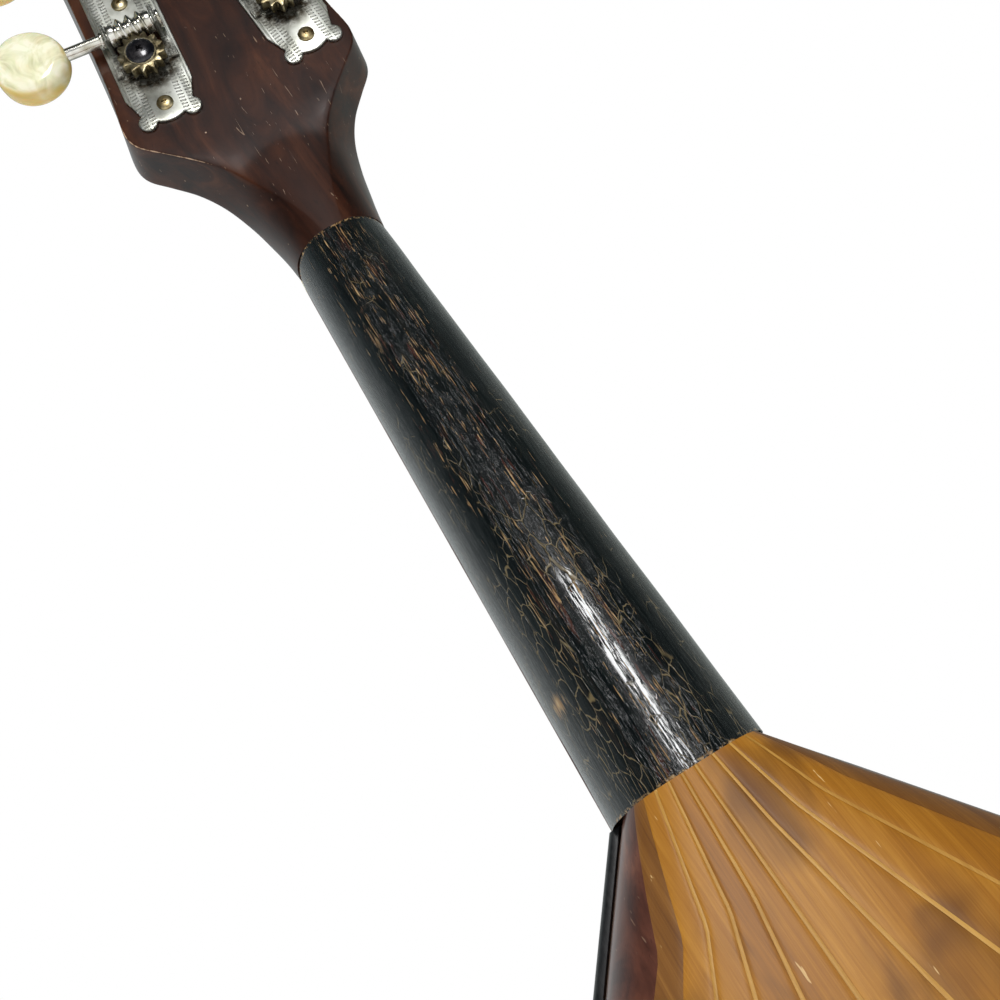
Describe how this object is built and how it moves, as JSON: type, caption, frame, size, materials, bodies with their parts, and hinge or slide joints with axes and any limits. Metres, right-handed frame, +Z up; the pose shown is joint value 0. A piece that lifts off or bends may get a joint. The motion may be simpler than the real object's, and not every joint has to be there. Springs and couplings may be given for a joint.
{
  "type": "balalaika",
  "caption": "Triangular balalaika with a ribbed back, flat soundboard, black lacquered neck, mahogany head, geared tuners with pearl buttons, frets, bridge and strings.",
  "frame": {"origin": "on the neck's front plane at the joint of neck and head, where a wall hanger takes the neck", "axes": "+Z up the neck to the head, -Y out of the soundboard, +Y out of the ribbed back, +X to the left as seen from behind"},
  "size_m": [0.447, 0.0872, 0.6165],
  "materials": {
    "spruce": "satin lacquer",
    "black_edge": "satin black lacquer",
    "rib_wood": "gloss varnish",
    "light_line": "gloss varnish",
    "brown_wood": "gloss varnish",
    "mahogany_side": "gloss varnish",
    "inner_wood": "raw",
    "black_neck": "gloss black lacquer, worn",
    "mahogany_head": "gloss varnish",
    "fingerboard_wood": "oiled",
    "fret_wire": "polished",
    "pearl": "pearl",
    "bone": "satin",
    "maple": "satin",
    "nickel": "aged nickel plate",
    "bright_shaft": "polished",
    "brass_gear": "aged",
    "brass_screw": "aged",
    "black_screw": "gloss black",
    "steel_string": "drawn",
    "pale_string": "clear"
  },
  "bodies": {
    "instrument": {"rib_left_1": "rib_wood", "rib_left_2": "rib_wood", "rib_left_3": "rib_wood", "rib_left_4": "rib_wood", "dark_strip_left": "brown_wood", "side_band_left": "mahogany_side", "rib_right_1": "rib_wood", "rib_right_2": "rib_wood", "rib_right_3": "rib_wood", "rib_right_4": "rib_wood", "dark_strip_right": "brown_wood", "side_band_right": "mahogany_side", "rib_lines": "light_line", "neck_block": "inner_wood", "bottom_board": "mahogany_side", "linings": "inner_wood", "soundboard": "spruce", "soundhole_ring": "black_edge", "guard_plate": "black_edge", "edge_binding": "black_edge", "soundboard_bars": "inner_wood", "neck": "black_neck", "fingerboard": "fingerboard_wood", "frets": "fret_wire", "position_dots": "pearl", "nut": "bone", "head": "mahogany_head", "tuner_plate_left": "nickel", "tuner_plate_right": "nickel", "plate_screws": "brass_screw", "post_ferrules": "nickel", "bridge": "maple", "bottom_saddle": "bone", "tailpiece": "nickel", "tail_screws": "brass_screw", "string_1": "steel_string", "string_2": "pale_string", "string_3": "pale_string"},
    "key_1": {"worm_shaft_1": "bright_shaft", "tuner_button_1": "pearl"},
    "post_1": {"gear_1": "brass_gear", "string_post_1": "bright_shaft", "gear_screw_1": "black_screw", "string_wind_1": "steel_string"},
    "key_2": {"worm_shaft_2": "bright_shaft", "tuner_button_2": "pearl"},
    "post_2": {"gear_2": "brass_gear", "string_post_2": "bright_shaft", "gear_screw_2": "black_screw", "string_wind_2": "pale_string"},
    "key_3": {"worm_shaft_3": "bright_shaft", "tuner_button_3": "pearl"},
    "post_3": {"gear_3": "brass_gear", "string_post_3": "bright_shaft", "gear_screw_3": "black_screw", "string_wind_3": "pale_string"}
  },
  "joints": [
    {"name": "key_1_turn", "type": "hinge", "parent": "instrument", "child": "key_1", "pos_m": [0.02125, 0.03912, 0.08358], "axis": [-0.9973, -0.0169, -0.0722], "continuous": true},
    {"name": "post_1_turn", "type": "hinge", "parent": "instrument", "child": "post_1", "pos_m": [0.02197, 0.03689, 0.07407], "axis": [0, 0.9736, -0.2284], "continuous": true},
    {"name": "key_2_turn", "type": "hinge", "parent": "instrument", "child": "key_2", "pos_m": [0.01838, 0.04793, 0.12111], "axis": [-0.9973, -0.0169, -0.0722], "continuous": true},
    {"name": "post_2_turn", "type": "hinge", "parent": "instrument", "child": "post_2", "pos_m": [0.01911, 0.04569, 0.11159], "axis": [0, 0.9736, -0.2284], "continuous": true},
    {"name": "key_3_turn", "type": "hinge", "parent": "instrument", "child": "key_3", "pos_m": [-0.02125, 0.03912, 0.08358], "axis": [-0.9973, 0.0169, 0.0722], "continuous": true},
    {"name": "post_3_turn", "type": "hinge", "parent": "instrument", "child": "post_3", "pos_m": [-0.02197, 0.03689, 0.07407], "axis": [0, 0.9736, -0.2284], "continuous": true}
  ],
  "couplings": [
    {"joint": "post_1_turn", "follows": "key_1_turn", "ratio": 0.076923},
    {"joint": "post_2_turn", "follows": "key_2_turn", "ratio": 0.076923},
    {"joint": "post_3_turn", "follows": "key_3_turn", "ratio": 0.076923}
  ]
}
